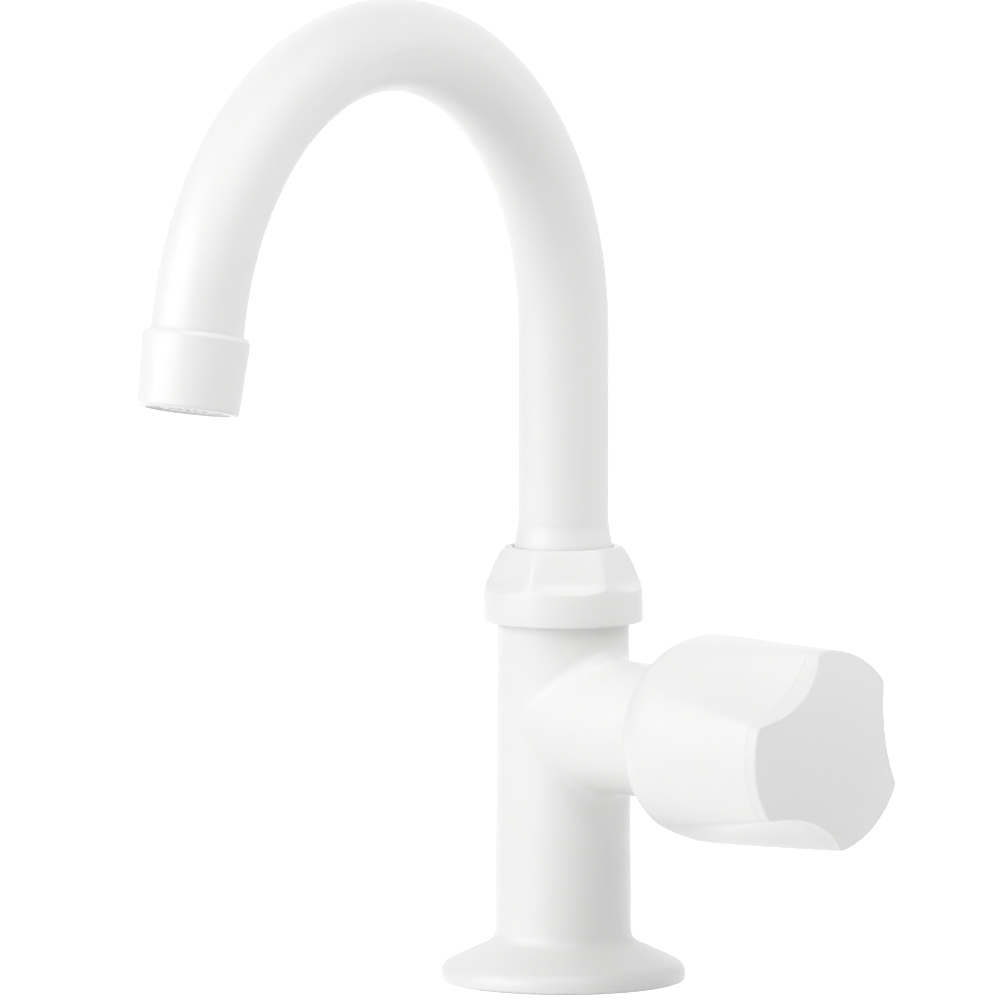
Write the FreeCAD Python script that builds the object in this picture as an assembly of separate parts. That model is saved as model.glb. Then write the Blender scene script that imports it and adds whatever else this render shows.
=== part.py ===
import FreeCAD, Part
import math
import os

from FreeCAD import Rotation, Vector

# Basin tap with a swan-neck spout, all sizes in millimetres and degrees.
# The origin is the centre of the flange's underside, on the deck. +Z is up,
# +X runs out along the valve branch, and -Y is the front, where the basin is.

# Flange and column
flange_radius = 27.0
flange_edge_height = 3.5
flange_slope_deg = 25.0
flange_top_round = 2.8
flange_bottom_round = 0.6
column_foot_radius = 15.15
column_top_radius = 14.5
column_top_z = 80.4
column_root_round = 3.0

# Valve branch
branch_z = 57.6
branch_radius = 14.7
branch_end_x = 36.2
branch_root_round = 3.0
branch_mouth_round = 0.5

# Threaded tail under the deck, a half-inch parallel pipe thread
tail_length = 46.0
tail_lead = 0.8
tail_neck_length = 5.5
tail_relief_length = 2.5
pipe_half_major_radius = 10.48
pipe_pitch = 1.814
pipe_thread_depth = 1.16
thread_flank_deg = 27.5
thread_flat = 0.15
thread_run_in = 2.0
thread_clearance = 0.22

# Waterways in the body
inlet_bore_radius = 5.5
seat_hole_radius = 4.6
seat_ring_radius = 7.0
seat_ring_height = 1.5
chamber_radius = 9.4
chamber_floor_x = 8.0
rising_passage_radius = 2.7
rising_passage_start_x = 12.2

# Threaded spigot and socket at the column's top
spigot_height = 9.6
spigot_major_radius = 13.2
spigot_thread_clearance = 0.15
socket_radius = 9.0
socket_depth = 15.5
spigot_lead = 0.6

# Deck fixing
gasket_outer_radius = 24.0
gasket_inner_radius = 17.0
gasket_thickness = 1.6
gasket_clearance = 0.1
deck_thickness = 12.0
fixing_washer_radius = 21.0
fixing_washer_thickness = 2.0
fixing_washer_play = 0.6
fixing_nut_flats = 30.0
fixing_nut_height = 9.0
fixing_nut_collar_radius = 18.5
fixing_nut_collar_height = 2.0

# Union nut that holds the spout
union_radius = 17.6
union_bottom_z = 79.6
union_height = 16.6
union_top_flat_radius = 13.4
union_top_chamfer_height = 1.8
union_flat_top_apothem = 12.1
union_flat_lean_deg = 17.7
union_flat_round = 3.3
union_flat_end_z = 89.0
union_turn_deg = -8.3
union_skirt_gap = 0.5
union_bottom_round = 0.6
union_lip_gap = 0.35
union_cavity_radius = 12.35

# Spout bearing inside the union nut
face_gap = 0.1
slip_washer_thickness = 1.0
slip_washer_gap = 0.12
clip_ring_thickness = 1.5
clip_ring_reach = 3.2
clip_ring_depth = 1.0
clip_ring_split = 2.0
ferrule_spigot_play = 0.05
ferrule_bore_radius = 6.0
ferrule_collar_radius = 10.9
ferrule_cone_end_z = 101.5
ferrule_lip = 0.25
ferrule_spigot_end_gap = 0.8
spout_ring_section = 1.5
spout_ring_lower_z = 78.6
spout_ring_upper_z = 84.6
ring_groove_slack = 0.2

# Spout
tube_radius = 10.0
tube_wall = 2.0
tube_bottom_z = 94.0
tube_socket_play = 0.05
arch_start_z = 143.5
arch_radius = 66.75
arch_turn_deg = 168.6
arch_tail_length = 12.6
spout_rest_turn_deg = 11.0

# Outlet
outlet_cap_length = 16.5
outlet_cap_top_radius = 11.6
outlet_cap_bottom_radius = 10.95
outlet_cap_top_bevel = 1.0
outlet_cap_bottom_round = 0.8
outlet_cap_play = 0.12
tube_end_step = 0.35
tube_end_depth = 8.4
outlet_washer_thickness = 1.6
outlet_washer_bore = 6.6
aerator_rim_thickness = 1.5
aerator_rim_radius = 9.6
aerator_body_radius = 9.0
aerator_wall = 1.0
aerator_floor = 1.3
aerator_recess = 0.3
aerator_slot_count = 22
aerator_slot_width = 0.9
aerator_slot_length = 1.5
aerator_hole_radius = 0.55
screen_thickness = 0.3
screen_gap = 0.5
screen_hole_radius = 0.4
screen_hole_pitch = 1.5
part_gap = 0.08

# Valve headwork in the branch
washer_thickness = 2.4
washer_radius = 7.1
washer_set = 0.05
valve_lift = 3.75
bonnet_start_gap = 0.5
bonnet_thread_radius = 10.48
bonnet_thread_play = 0.1
bonnet_flange_flats = 22.0
bonnet_flange_length = 5.4
bonnet_nose_radius = 7.5
bonnet_nose_length = 9.4
bonnet_seal_radius = 11.6
bonnet_seal_section = 1.2
plunger_radius = 7.3
plunger_flats = 12.0
plunger_play = 0.1
plunger_head_length = 4.0
plunger_length = 13.0
drive_radius = 4.4
drive_play = 0.1
drive_end_gap = 0.35
collar_radius = 5.85
collar_length = 1.4
collar_play = 0.12
thrust_washer_thickness = 0.8
stem_radius = 4.0
stem_play = 0.06
stem_ring_section = 1.1
stem_ring_pitch = 3.2
stem_ring_inset = 2.4
clip_thickness = 0.8
clip_radius = 5.6
clip_groove_depth = 1.1
clip_mouth = 3.4
square_flats = 6.0
square_play = 0.06
square_length = 13.0
square_gap = 1.0

# Knob
knob_back_gap = 0.6
knob_back_radius = 14.9
knob_shoulder_x = 47.5
knob_max_radius = 22.9
knob_front_radius = 22.3
knob_face_x = 83.6
knob_cap_thickness = 2.9
knob_cap_round = 0.9
knob_dome_radius = 74.0
knob_lobes = 3
knob_lobe_turn_deg = 189.1
flute_radius = 24.0
flute_floor_radius = 15.9
flute_lean_deg = 11.9
knob_cavity_radius = 13.5
knob_hub_radius = 7.5
knob_front_wall = 3.0
knob_web = 3.0
knob_pocket_inner_radius = 15.6
knob_pocket_outer_radius = 19.2
knob_pocket_half_deg = 23.0
knob_pocket_floor_x = 52.0
knob_well_radius = 5.0
knob_cap_plug_length = 3.0

# Screws
knob_screw_radius = 2.0
knob_screw_head_radius = 3.8
knob_screw_head_height = 2.5
knob_screw_bite = 8.0
washer_screw_radius = 1.5
washer_screw_head_radius = 3.0
washer_screw_head_height = 1.4
washer_screw_bite = 3.4
screw_play = 0.08
drive_slot_width = 0.9
drive_slot_depth = 1.0

# Places that follow from the sizes above
X_AXIS = Vector(1, 0, 0)
Y_AXIS = Vector(0, 1, 0)
Z_AXIS = Vector(0, 0, 1)
ORIGIN = Vector(0, 0, 0)
branch_axis_point = Vector(0, 0, branch_z)
slope = math.tan(math.radians(flange_slope_deg))
spigot_top_z = column_top_z + spigot_height
union_top_z = union_bottom_z + union_height
slip_washer_z = spigot_top_z + face_gap
clip_ring_z = slip_washer_z + slip_washer_thickness + face_gap
clip_ring_top_z = clip_ring_z + clip_ring_thickness
union_lip_z = clip_ring_top_z + face_gap
ferrule_spigot_radius = socket_radius - ferrule_spigot_play
ferrule_bottom_z = spigot_top_z - socket_depth + ferrule_spigot_end_gap
seat_face_x = chamber_floor_x + seat_ring_height
washer_back_x = seat_face_x + washer_set + washer_thickness
plunger_back_x = washer_back_x + part_gap
plunger_end_x = plunger_back_x + plunger_length
bonnet_start_x = washer_back_x + valve_lift + bonnet_start_gap
bonnet_flange_x = branch_end_x + face_gap
bonnet_flange_end_x = bonnet_flange_x + bonnet_flange_length
bonnet_nose_end_x = bonnet_flange_end_x + bonnet_nose_length
plunger_bore_end_x = plunger_end_x + valve_lift + drive_end_gap
collar_x = plunger_bore_end_x + collar_play
thrust_washer_x = collar_x + collar_length + collar_play
collar_pocket_end_x = thrust_washer_x + thrust_washer_thickness + collar_play
spindle_start_x = plunger_back_x + plunger_head_length + valve_lift + drive_end_gap
clip_x = bonnet_nose_end_x + collar_play
square_x = clip_x + clip_thickness + square_gap
square_end_x = square_x + square_length
knob_back_x = branch_end_x + knob_back_gap
knob_seam_x = knob_face_x - knob_cap_thickness
knob_front_x = knob_seam_x - part_gap
knob_web_x = square_end_x + drive_end_gap
knob_well_x = knob_web_x + knob_web
knob_cavity_end_x = knob_front_x - knob_front_wall
knob_dome_x = knob_face_x + knob_dome_radius - math.sqrt(knob_dome_radius**2 - knob_front_radius**2)
outlet_floor = outlet_cap_length - aerator_recess


# Small building blocks
def ring(outer, inner, bottom, height):
    """A round plate or sleeve about Z, with a hole where inner is above zero."""
    shape = Part.makeCylinder(outer, height, Vector(0, 0, bottom), Z_AXIS)
    if inner > 0:
        shape = shape.cut(Part.makeCylinder(inner, height, Vector(0, 0, bottom), Z_AXIS))
    return shape


def turned(points):
    """A solid turned about Z from its outline, given as radius and height pairs."""
    outline = Part.makePolygon([Vector(r, 0, z) for r, z in points + points[:1]])
    return Part.Face(outline).revolve(ORIGIN, Z_AXIS, 360)


def hexagon(flats, bottom, height):
    """A hexagonal bar about Z."""
    corner = flats / 2 / math.cos(math.radians(30))
    points = [Vector(corner, 0, bottom)]
    for step in range(1, 7):
        angle = math.radians(60 * step)
        points.append(Vector(corner * math.cos(angle), corner * math.sin(angle), bottom))
    return Part.Face(Part.makePolygon(points)).extrude(Vector(0, 0, height))


def torus(radius, section, z):
    """A round sealing ring about Z, lying at height z."""
    return Part.makeTorus(radius, section / 2, Vector(0, 0, z), Z_AXIS)


def rounded(shape, radius, spots):
    """Round the circular edges that lie at the given radius and height pairs."""
    edges = []
    for edge in shape.Edges:
        if not isinstance(edge.Curve, Part.Circle):
            continue
        centre = edge.Curve.Center
        for spot_radius, spot_z in spots:
            near = abs(edge.Curve.Radius - spot_radius) < 0.01 and abs(centre.z - spot_z) < 0.01
            if near and math.hypot(centre.x, centre.y) < 0.01:
                edges.append(edge)
    return shape.makeFillet(radius, edges)


def along_branch(shape):
    """Carry a piece built up the Z axis over to the valve's axis, so that its Z becomes X."""
    moved = shape.copy()
    moved.rotate(ORIGIN, Y_AXIS, 90)
    moved.translate(branch_axis_point)
    return moved


def swung(shape):
    """Turn a piece of the spout to where the spout rests."""
    moved = shape.copy()
    moved.rotate(ORIGIN, Z_AXIS, spout_rest_turn_deg)
    return moved


def thread_ridge(root, crest, bottom, length, turn):
    """The helical ridge of a right-hand pipe thread about Z, from its root to its crest."""
    half_base = thread_flat + abs(crest - root) * math.tan(math.radians(thread_flank_deg))
    helix = Part.makeHelix(pipe_pitch, length, root)
    outline = [(root, -half_base), (crest, -thread_flat), (crest, thread_flat), (root, half_base)]
    corners = [Vector(r, 0, z) for r, z in outline]
    profile = Part.makePolygon(corners + corners[:1])
    ridge = Part.Wire(helix).makePipeShell([profile], True, True)
    ridge.rotate(ORIGIN, Z_AXIS, turn)
    ridge.translate(Vector(0, 0, bottom))
    return ridge


def tail_turn_at(z):
    """How far the tail's thread has turned at a height, in degrees."""
    return 360 * (z + tail_length) / pipe_pitch


# Body
def body_outside():
    """Flange, column, spigot and branch before the waterways are cut."""
    root_z = flange_edge_height + (flange_radius - column_foot_radius) * slope
    shape = turned([(0, 0), (flange_radius, 0), (flange_radius, flange_edge_height),
                    (column_foot_radius, root_z), (column_top_radius, column_top_z),
                    (0, column_top_z)])
    shape = rounded(shape, flange_bottom_round, [(flange_radius, 0)])
    shape = rounded(shape, flange_top_round, [(flange_radius, flange_edge_height)])
    shape = rounded(shape, column_root_round, [(column_foot_radius, root_z)])
    branch = rounded(ring(branch_radius, 0, 0, branch_end_x), branch_mouth_round,
                     [(branch_radius, branch_end_x)])
    shape = shape.fuse(along_branch(branch))
    return shape.makeFillet(branch_root_round, branch_root_edges(shape))


def branch_root_edges(shape):
    """The curve where the branch meets the column."""
    edges = []
    for edge in shape.Edges:
        box = edge.BoundBox
        beside = 0 < box.XMax < branch_end_x - 1
        level = box.ZMin > branch_z - branch_radius - 1 and box.ZMax < branch_z + branch_radius + 1
        if beside and level and not isinstance(edge.Curve, Part.Line):
            edges.append(edge)
    return edges


def tail():
    """Neck, relief and threaded tail below the flange."""
    minor = pipe_half_major_radius - pipe_thread_depth
    relief_z = -tail_neck_length - tail_relief_length
    core = turned([(0, 0.5), (pipe_half_major_radius, 0.5),
                   (pipe_half_major_radius, -tail_neck_length), (minor - 0.2, -tail_neck_length),
                   (minor - 0.2, relief_z), (minor, relief_z), (minor, tail_lead - tail_length),
                   (minor - tail_lead, -tail_length), (0, -tail_length)])
    ridge_bottom = -tail_length + thread_run_in
    ridge_length = relief_z - thread_run_in / 2 - ridge_bottom
    return core.fuse(thread_ridge(minor - thread_flat, pipe_half_major_radius, ridge_bottom,
                                  ridge_length, tail_turn_at(ridge_bottom)))


def body_waterways():
    """Inlet, seat, valve chamber, bonnet bore, rising passage and spout socket."""
    inlet = Part.makeCylinder(inlet_bore_radius, branch_z + tail_length,
                              Vector(0, 0, -tail_length), Z_AXIS)
    inlet = inlet.fuse(Part.makeSphere(inlet_bore_radius, branch_axis_point))
    seat_hole = Part.makeCylinder(seat_hole_radius, chamber_floor_x + 2 * seat_ring_height,
                                  branch_axis_point, X_AXIS)
    chamber_length = branch_end_x - chamber_floor_x
    chamber = ring(chamber_radius, 0, chamber_floor_x, chamber_length)
    chamber = chamber.cut(ring(seat_ring_radius, 0, chamber_floor_x, seat_ring_height))
    bonnet_bore = ring(bonnet_thread_radius + bonnet_thread_play, 0, bonnet_start_x,
                       branch_end_x - bonnet_start_x)
    seal_depth = bonnet_seal_section + 2 * part_gap
    seal_pocket = ring(bonnet_seal_radius + bonnet_seal_section / 2 + part_gap, 0,
                       branch_end_x - seal_depth, seal_depth)
    headwork = along_branch(chamber.fuse([bonnet_bore, seal_pocket]))
    socket_floor_z = spigot_top_z - socket_depth
    socket = ring(socket_radius, 0, socket_floor_z, socket_depth)
    upper = Vector(socket_radius / 2, 0, socket_floor_z + rising_passage_radius / 2)
    lower = Vector(rising_passage_start_x, 0, branch_z + chamber_radius - rising_passage_radius / 4)
    rising = Part.makeCylinder(rising_passage_radius, (upper - lower).Length, lower, upper - lower)
    return inlet.fuse([seat_hole, headwork, socket, rising])


def tap_body():
    """The one-piece body: tail, flange, column, valve branch and spout socket."""
    shape = body_outside()
    spigot = ring(spigot_major_radius, 0, column_top_z, spigot_height)
    spigot = spigot.makeChamfer(spigot_lead, [spigot.Edges[0]])
    groove = ring(gasket_outer_radius + gasket_clearance, gasket_inner_radius - gasket_clearance,
                  0, gasket_thickness)
    shape = shape.fuse([spigot, tail()])
    return shape.cut(body_waterways()).cut(groove)


# Deck fixing
def deck_gasket():
    """Rubber gasket set in the flange's underside, flush with the deck face."""
    return ring(gasket_outer_radius, gasket_inner_radius, 0, gasket_thickness - gasket_clearance / 2)


def fixing_washer():
    """Wide washer against the underside of the deck."""
    bottom = -deck_thickness - fixing_washer_thickness
    bore = pipe_half_major_radius + fixing_washer_play
    washer = ring(fixing_washer_radius, bore, bottom, fixing_washer_thickness)
    return rounded(washer, fixing_washer_thickness / 5, [(fixing_washer_radius, -deck_thickness)])


def fixing_nut():
    """Flanged hexagonal nut on the tail, with its own thread."""
    top = -deck_thickness - fixing_washer_thickness - part_gap
    bottom = top - fixing_nut_height
    body = hexagon(fixing_nut_flats, bottom, fixing_nut_height)
    corner = fixing_nut_flats / 2 / math.cos(math.radians(30))
    chamfer = turned([(0, bottom), (corner - 1.6, bottom), (corner, bottom + 1.6), (corner, top), (0, top)])
    body = body.common(chamfer)
    body = body.fuse(ring(fixing_nut_collar_radius, 0, top - fixing_nut_collar_height,
                          fixing_nut_collar_height))
    bore_radius = pipe_half_major_radius + thread_clearance
    body = body.cut(ring(bore_radius, 0, bottom, fixing_nut_height))
    ridge_bottom = bottom + pipe_pitch / 2
    ridge = thread_ridge(bore_radius + thread_flat, bore_radius - pipe_thread_depth, ridge_bottom,
                         fixing_nut_height - pipe_pitch, tail_turn_at(ridge_bottom) + 180)
    return body.fuse(ridge)


# Union nut and spout bearing
def union_flat_cutter():
    """The space outside one leaning flat, with the round that ends it on the skirt."""
    lean = math.radians(union_flat_lean_deg)
    top_z = union_top_z + 1
    top_r = union_flat_top_apothem - math.tan(lean)
    end_r = union_flat_top_apothem + (union_top_z - union_flat_end_z) * math.tan(lean)
    along = Vector(math.sin(lean), 0, -math.cos(lean))
    outward = Vector(math.cos(lean), 0, math.sin(lean))
    start = Vector(end_r, 0, union_flat_end_z)
    centre = start + outward * union_flat_round
    sweep = math.radians(52)
    middle = centre - outward * union_flat_round * math.cos(sweep / 2) \
        + along * union_flat_round * math.sin(sweep / 2)
    finish = centre - outward * union_flat_round * math.cos(sweep) \
        + along * union_flat_round * math.sin(sweep)
    leave = Vector(finish.x + union_radius, 0, finish.z - union_radius * 0.1)
    top_in = Vector(top_r, 0, top_z)
    top_out = Vector(leave.x, 0, top_z)
    edges = [Part.LineSegment(top_in, start).toShape(),
             Part.Arc(start, middle, finish).toShape(),
             Part.LineSegment(finish, leave).toShape(),
             Part.LineSegment(leave, top_out).toShape(),
             Part.LineSegment(top_out, top_in).toShape()]
    face = Part.Face(Part.Wire(edges))
    face.translate(Vector(0, -2 * union_radius, 0))
    return face.extrude(Vector(0, 4 * union_radius, 0))


def union_nut():
    """Round-skirted nut with six leaning flats, screwed on the column's spigot."""
    chamfer_z = union_top_z - union_top_chamfer_height
    chamfer_r = union_top_flat_radius + union_top_chamfer_height * 0.8
    shape = turned([(0, union_bottom_z), (union_radius, union_bottom_z), (union_radius, chamfer_z),
                    (chamfer_r, chamfer_z), (union_top_flat_radius, union_top_z), (0, union_top_z)])
    shape = rounded(shape, union_bottom_round, [(union_radius, union_bottom_z)])
    cutter = union_flat_cutter()
    for step in range(6):
        flat = cutter.copy()
        flat.rotate(ORIGIN, Z_AXIS, union_turn_deg + 30 + 60 * step)
        shape = shape.cut(flat)
    skirt_end_z = column_top_z + union_skirt_gap
    skirt = ring(column_top_radius + union_skirt_gap, 0, union_bottom_z, skirt_end_z - union_bottom_z)
    bore_end_z = slip_washer_z - face_gap / 2
    bore = ring(spigot_major_radius + spigot_thread_clearance, 0, skirt_end_z, bore_end_z - skirt_end_z)
    cavity = ring(union_cavity_radius, 0, bore_end_z, union_lip_z - bore_end_z)
    lip = ring(ferrule_collar_radius + union_lip_gap, 0, union_lip_z, union_top_z - union_lip_z)
    return shape.cut(skirt.fuse([bore, cavity, lip]))


def slip_washer():
    """Slippery washer between the spigot's top and the clip ring."""
    inner = ferrule_spigot_radius + slip_washer_gap
    outer = union_cavity_radius - slip_washer_gap
    return ring(outer, inner, slip_washer_z, slip_washer_thickness)


def spout_clip_ring():
    """Split ring in the ferrule's groove, held down by the union nut's lip."""
    inner = ferrule_spigot_radius - clip_ring_depth + part_gap
    shape = ring(ferrule_spigot_radius + clip_ring_reach, inner, clip_ring_z, clip_ring_thickness)
    split = Part.makeBox(2 * spigot_major_radius, clip_ring_split, 4 * clip_ring_thickness,
                         Vector(0, -clip_ring_split / 2, clip_ring_z - clip_ring_thickness))
    return swung(shape.cut(split))


def ring_groove(radius, section, z):
    """Cutter for a sealing ring's groove in a shaft about Z, at height z."""
    width = section + 2 * ring_groove_slack
    return ring(radius + 1, radius - section, z - width / 2, width)


def spout_ferrule():
    """Sleeve on the spout's foot that turns in the body's socket and carries its seals."""
    groove_r = ferrule_spigot_radius - clip_ring_depth
    collar_z = clip_ring_top_z + face_gap
    shape = turned([(ferrule_bore_radius, ferrule_bottom_z),
                    (ferrule_spigot_radius - 0.6, ferrule_bottom_z),
                    (ferrule_spigot_radius, ferrule_bottom_z + 1.2),
                    (ferrule_spigot_radius, clip_ring_z - face_gap / 2),
                    (groove_r, clip_ring_z - face_gap / 2), (groove_r, collar_z),
                    (ferrule_collar_radius, collar_z), (ferrule_collar_radius, union_top_z - 0.6),
                    (tube_radius + tube_socket_play + ferrule_lip, ferrule_cone_end_z),
                    (tube_radius + tube_socket_play, ferrule_cone_end_z),
                    (tube_radius + tube_socket_play, tube_bottom_z - part_gap),
                    (ferrule_bore_radius, tube_bottom_z - part_gap)])
    for z in (spout_ring_lower_z, spout_ring_upper_z):
        shape = shape.cut(ring_groove(ferrule_spigot_radius, spout_ring_section, z))
    return swung(shape)


def spout_o_ring(z):
    """Sealing ring between ferrule and socket."""
    section = spout_ring_section - ring_groove_slack / 4
    return torus(ferrule_spigot_radius - spout_ring_section / 2, section, z)


# Spout
def swept_bore(radius):
    """The round bar that follows the spout's line: riser, arch and short outlet run."""
    riser = ring(radius, 0, tube_bottom_z, arch_start_z - tube_bottom_z)
    disc = Part.Face(Part.Wire(Part.makeCircle(radius, Vector(0, 0, arch_start_z), Z_AXIS)))
    arch = disc.revolve(Vector(0, -arch_radius, arch_start_z), X_AXIS, arch_turn_deg)
    outlet = Part.makeCylinder(radius, arch_tail_length, arch_end(), outlet_direction())
    return riser.fuse([arch, outlet])


def arch_end():
    """The point of the spout's line where the arch ends."""
    turn = math.radians(arch_turn_deg)
    return Vector(0, arch_radius * (math.cos(turn) - 1), arch_start_z + arch_radius * math.sin(turn))


def outlet_direction():
    """The way the water leaves."""
    turn = math.radians(arch_turn_deg)
    return Vector(0, -math.sin(turn), math.cos(turn))


def at_outlet(shape):
    """Carry a piece built up the Z axis to the outlet: Z = 0 is the outlet cap's top."""
    direction = outlet_direction()
    top = arch_end() + direction * (arch_tail_length - tube_end_depth)
    moved = shape.copy()
    placement = FreeCAD.Placement(top, Rotation(Z_AXIS, direction))
    moved.transformShape(placement.toMatrix())
    return swung(moved)


def spout_tube():
    """Bent tube of the swan neck, stepped down where the outlet cap screws on."""
    shape = swept_bore(tube_radius).cut(swept_bore(tube_radius - tube_wall))
    top = arch_end() + outlet_direction() * (arch_tail_length - tube_end_depth + 1.5)
    step_length = tube_end_depth + 1
    sleeve = Part.makeCylinder(tube_radius + 1, step_length, top, outlet_direction())
    core = Part.makeCylinder(tube_radius - tube_end_step, step_length, top, outlet_direction())
    return swung(shape.cut(sleeve.cut(core)))


# Outlet
def outlet_cap():
    """Tapered cap that screws on the spout's end and holds the aerator."""
    shape = turned([(0, 0), (outlet_cap_top_radius - outlet_cap_top_bevel / 2, 0),
                    (outlet_cap_top_radius, outlet_cap_top_bevel),
                    (outlet_cap_bottom_radius, outlet_cap_length), (0, outlet_cap_length)])
    shape = rounded(shape, outlet_cap_bottom_round, [(outlet_cap_bottom_radius, outlet_cap_length)])
    neck = tube_radius + outlet_cap_play
    thread = tube_radius - tube_end_step + outlet_cap_play
    seat_z = aerator_seat_z()
    lower = aerator_body_radius + part_gap
    hollow = turned([(0, 0), (neck, 0), (neck, 1.5), (thread, 1.5), (thread, seat_z),
                     (lower, seat_z), (lower, outlet_cap_length), (0, outlet_cap_length)])
    return at_outlet(shape.cut(hollow))


def outlet_washer_z():
    """Where the outlet washer starts, measured down from the cap's top."""
    return tube_end_depth + part_gap


def aerator_seat_z():
    """The cap's inner ledge, measured down from the cap's top."""
    return outlet_washer_z() + outlet_washer_thickness + aerator_rim_thickness + 2 * part_gap


def outlet_washer():
    """Rubber washer between the tube's end and the aerator."""
    outer = tube_radius - tube_end_step - part_gap
    return at_outlet(ring(outer, outlet_washer_bore, outlet_washer_z(), outlet_washer_thickness))


def spaced_ring(radius, count):
    """Points evenly spaced on a circle."""
    for step in range(count):
        angle = 2 * math.pi * step / count
        yield radius * math.cos(angle), radius * math.sin(angle), math.degrees(angle)


def aerator_cup():
    """Aerator housing: a rim, a wall and a floor with slots and holes."""
    rim_z = outlet_washer_z() + outlet_washer_thickness + part_gap
    shape = ring(aerator_rim_radius, 0, rim_z, aerator_rim_thickness)
    shape = shape.fuse(ring(aerator_body_radius, 0, rim_z, outlet_floor - rim_z))
    inside = aerator_body_radius - aerator_wall
    shape = shape.cut(ring(inside, 0, rim_z, outlet_floor - rim_z - aerator_floor))
    cutters = []
    slot_radius = inside - aerator_slot_length / 2 - 0.3
    for x, y, turn in spaced_ring(slot_radius, aerator_slot_count):
        slot = Part.makeBox(aerator_slot_length, aerator_slot_width, 3 * aerator_floor,
                            Vector(-aerator_slot_length / 2, -aerator_slot_width / 2, 0))
        slot.rotate(ORIGIN, Z_AXIS, turn)
        slot.translate(Vector(x, y, outlet_floor - 2 * aerator_floor))
        cutters.append(slot)
    for row, count in ((0, 1), (1, 6), (2, 12)):
        for x, y, turn in spaced_ring(row * aerator_hole_radius * 3.4, count):
            cutters.append(Part.makeCylinder(aerator_hole_radius, 3 * aerator_floor,
                                             Vector(x, y, outlet_floor - 2 * aerator_floor), Z_AXIS))
    return at_outlet(shape.cut(cutters))


def aerator_screens():
    """Two fine round screens lying on the aerator's floor."""
    radius = aerator_body_radius - aerator_wall - part_gap
    sheets = []
    for layer in range(2):
        z = outlet_floor - aerator_floor - (layer + 1) * screen_thickness - part_gap - layer * screen_gap
        sheet = ring(radius, 0, z, screen_thickness)
        holes = []
        for row in range(1, 4):
            for x, y, turn in spaced_ring(row * screen_hole_pitch, 6 * row):
                holes.append(Part.makeCylinder(screen_hole_radius, 1, Vector(x, y, z - 0.3), Z_AXIS))
        sheets.append(at_outlet(sheet.cut(holes)))
    return Part.makeCompound(sheets)


# Valve headwork
def double_d(radius, flats, bottom, height):
    """A round bar about Z with two flats."""
    bar = Part.makeCylinder(radius, height, Vector(0, 0, bottom), Z_AXIS)
    block = Part.makeBox(2 * radius, flats, height, Vector(-radius, -flats / 2, bottom))
    return bar.common(block)


def squared(radius, flats, bottom, height):
    """A round bar about Z with four flats."""
    block = Part.makeBox(flats, flats, height, Vector(-flats / 2, -flats / 2, bottom))
    return Part.makeCylinder(radius, height, Vector(0, 0, bottom), Z_AXIS).common(block)


def bonnet():
    """Headwork body: screwed into the branch, it guides the plunger and the spindle."""
    sleeve = ring(bonnet_thread_radius, 0, bonnet_start_x, bonnet_flange_x - bonnet_start_x)
    sleeve = sleeve.makeChamfer(0.8, [edge_at(sleeve, bonnet_thread_radius, bonnet_start_x)])
    flange = hexagon(bonnet_flange_flats, bonnet_flange_x, bonnet_flange_length)
    flange = flange.fuse(ring(bonnet_seal_radius + bonnet_seal_section / 2, 0, bonnet_flange_x, 1.2))
    nose = ring(bonnet_nose_radius, 0, bonnet_flange_end_x, bonnet_nose_length)
    nose = nose.makeChamfer(0.6, [edge_at(nose, bonnet_nose_radius, bonnet_nose_end_x)])
    shape = sleeve.fuse([flange, nose])
    guide = double_d(plunger_radius + plunger_play, plunger_flats + 2 * plunger_play,
                     bonnet_start_x, plunger_bore_end_x - bonnet_start_x)
    pocket = ring(collar_radius + plunger_play, 0, plunger_bore_end_x,
                  collar_pocket_end_x - plunger_bore_end_x)
    stem = ring(stem_radius + stem_play, 0, collar_pocket_end_x,
                bonnet_nose_end_x - collar_pocket_end_x)
    return along_branch(shape.cut(guide.fuse([pocket, stem])))


def edge_at(shape, radius, z):
    """The circular edge at a radius and height."""
    for edge in shape.Edges:
        if isinstance(edge.Curve, Part.Circle) and abs(edge.Curve.Radius - radius) < 0.01 \
                and abs(edge.Curve.Center.z - z) < 0.01:
            return edge
    raise ValueError("no circular edge there")


def bonnet_o_ring():
    """Sealing ring under the bonnet's flange."""
    z = branch_end_x - bonnet_seal_section / 2 - part_gap
    return along_branch(torus(bonnet_seal_radius, bonnet_seal_section, z))


def stem_ring_places():
    """Where the spindle's two sealing rings lie along the valve's axis."""
    first = bonnet_nose_end_x - stem_ring_inset
    return first - stem_ring_pitch, first


def spindle():
    """Turning spindle: drive end, thrust collar, sealed stem, clip groove and square."""
    drive = ring(drive_radius, 0, spindle_start_x, collar_x - spindle_start_x)
    collar = ring(collar_radius, 0, collar_x, collar_length)
    stem = ring(stem_radius, 0, collar_x, square_x - collar_x)
    square = squared(stem_radius - part_gap, square_flats, square_x, square_length)
    shape = drive.fuse([collar, stem, square])
    for z in stem_ring_places():
        shape = shape.cut(ring_groove(stem_radius, stem_ring_section, z))
    groove_width = clip_thickness + part_gap
    shape = shape.cut(ring(stem_radius + 1, stem_radius - clip_groove_depth, clip_x - part_gap / 2,
                           groove_width))
    hole_depth = knob_screw_bite + drive_end_gap
    shape = shape.cut(ring(knob_screw_radius + part_gap / 2, 0, square_end_x - hole_depth, hole_depth))
    return along_branch(shape)


def spindle_o_ring(x):
    """Sealing ring between spindle and bonnet."""
    section = stem_ring_section - ring_groove_slack / 4
    return along_branch(torus(stem_radius - stem_ring_section / 2, section, x))


def thrust_washer():
    """Slippery washer between the spindle's collar and the bonnet."""
    return along_branch(ring(collar_radius, stem_radius + part_gap, thrust_washer_x,
                             thrust_washer_thickness))


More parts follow.
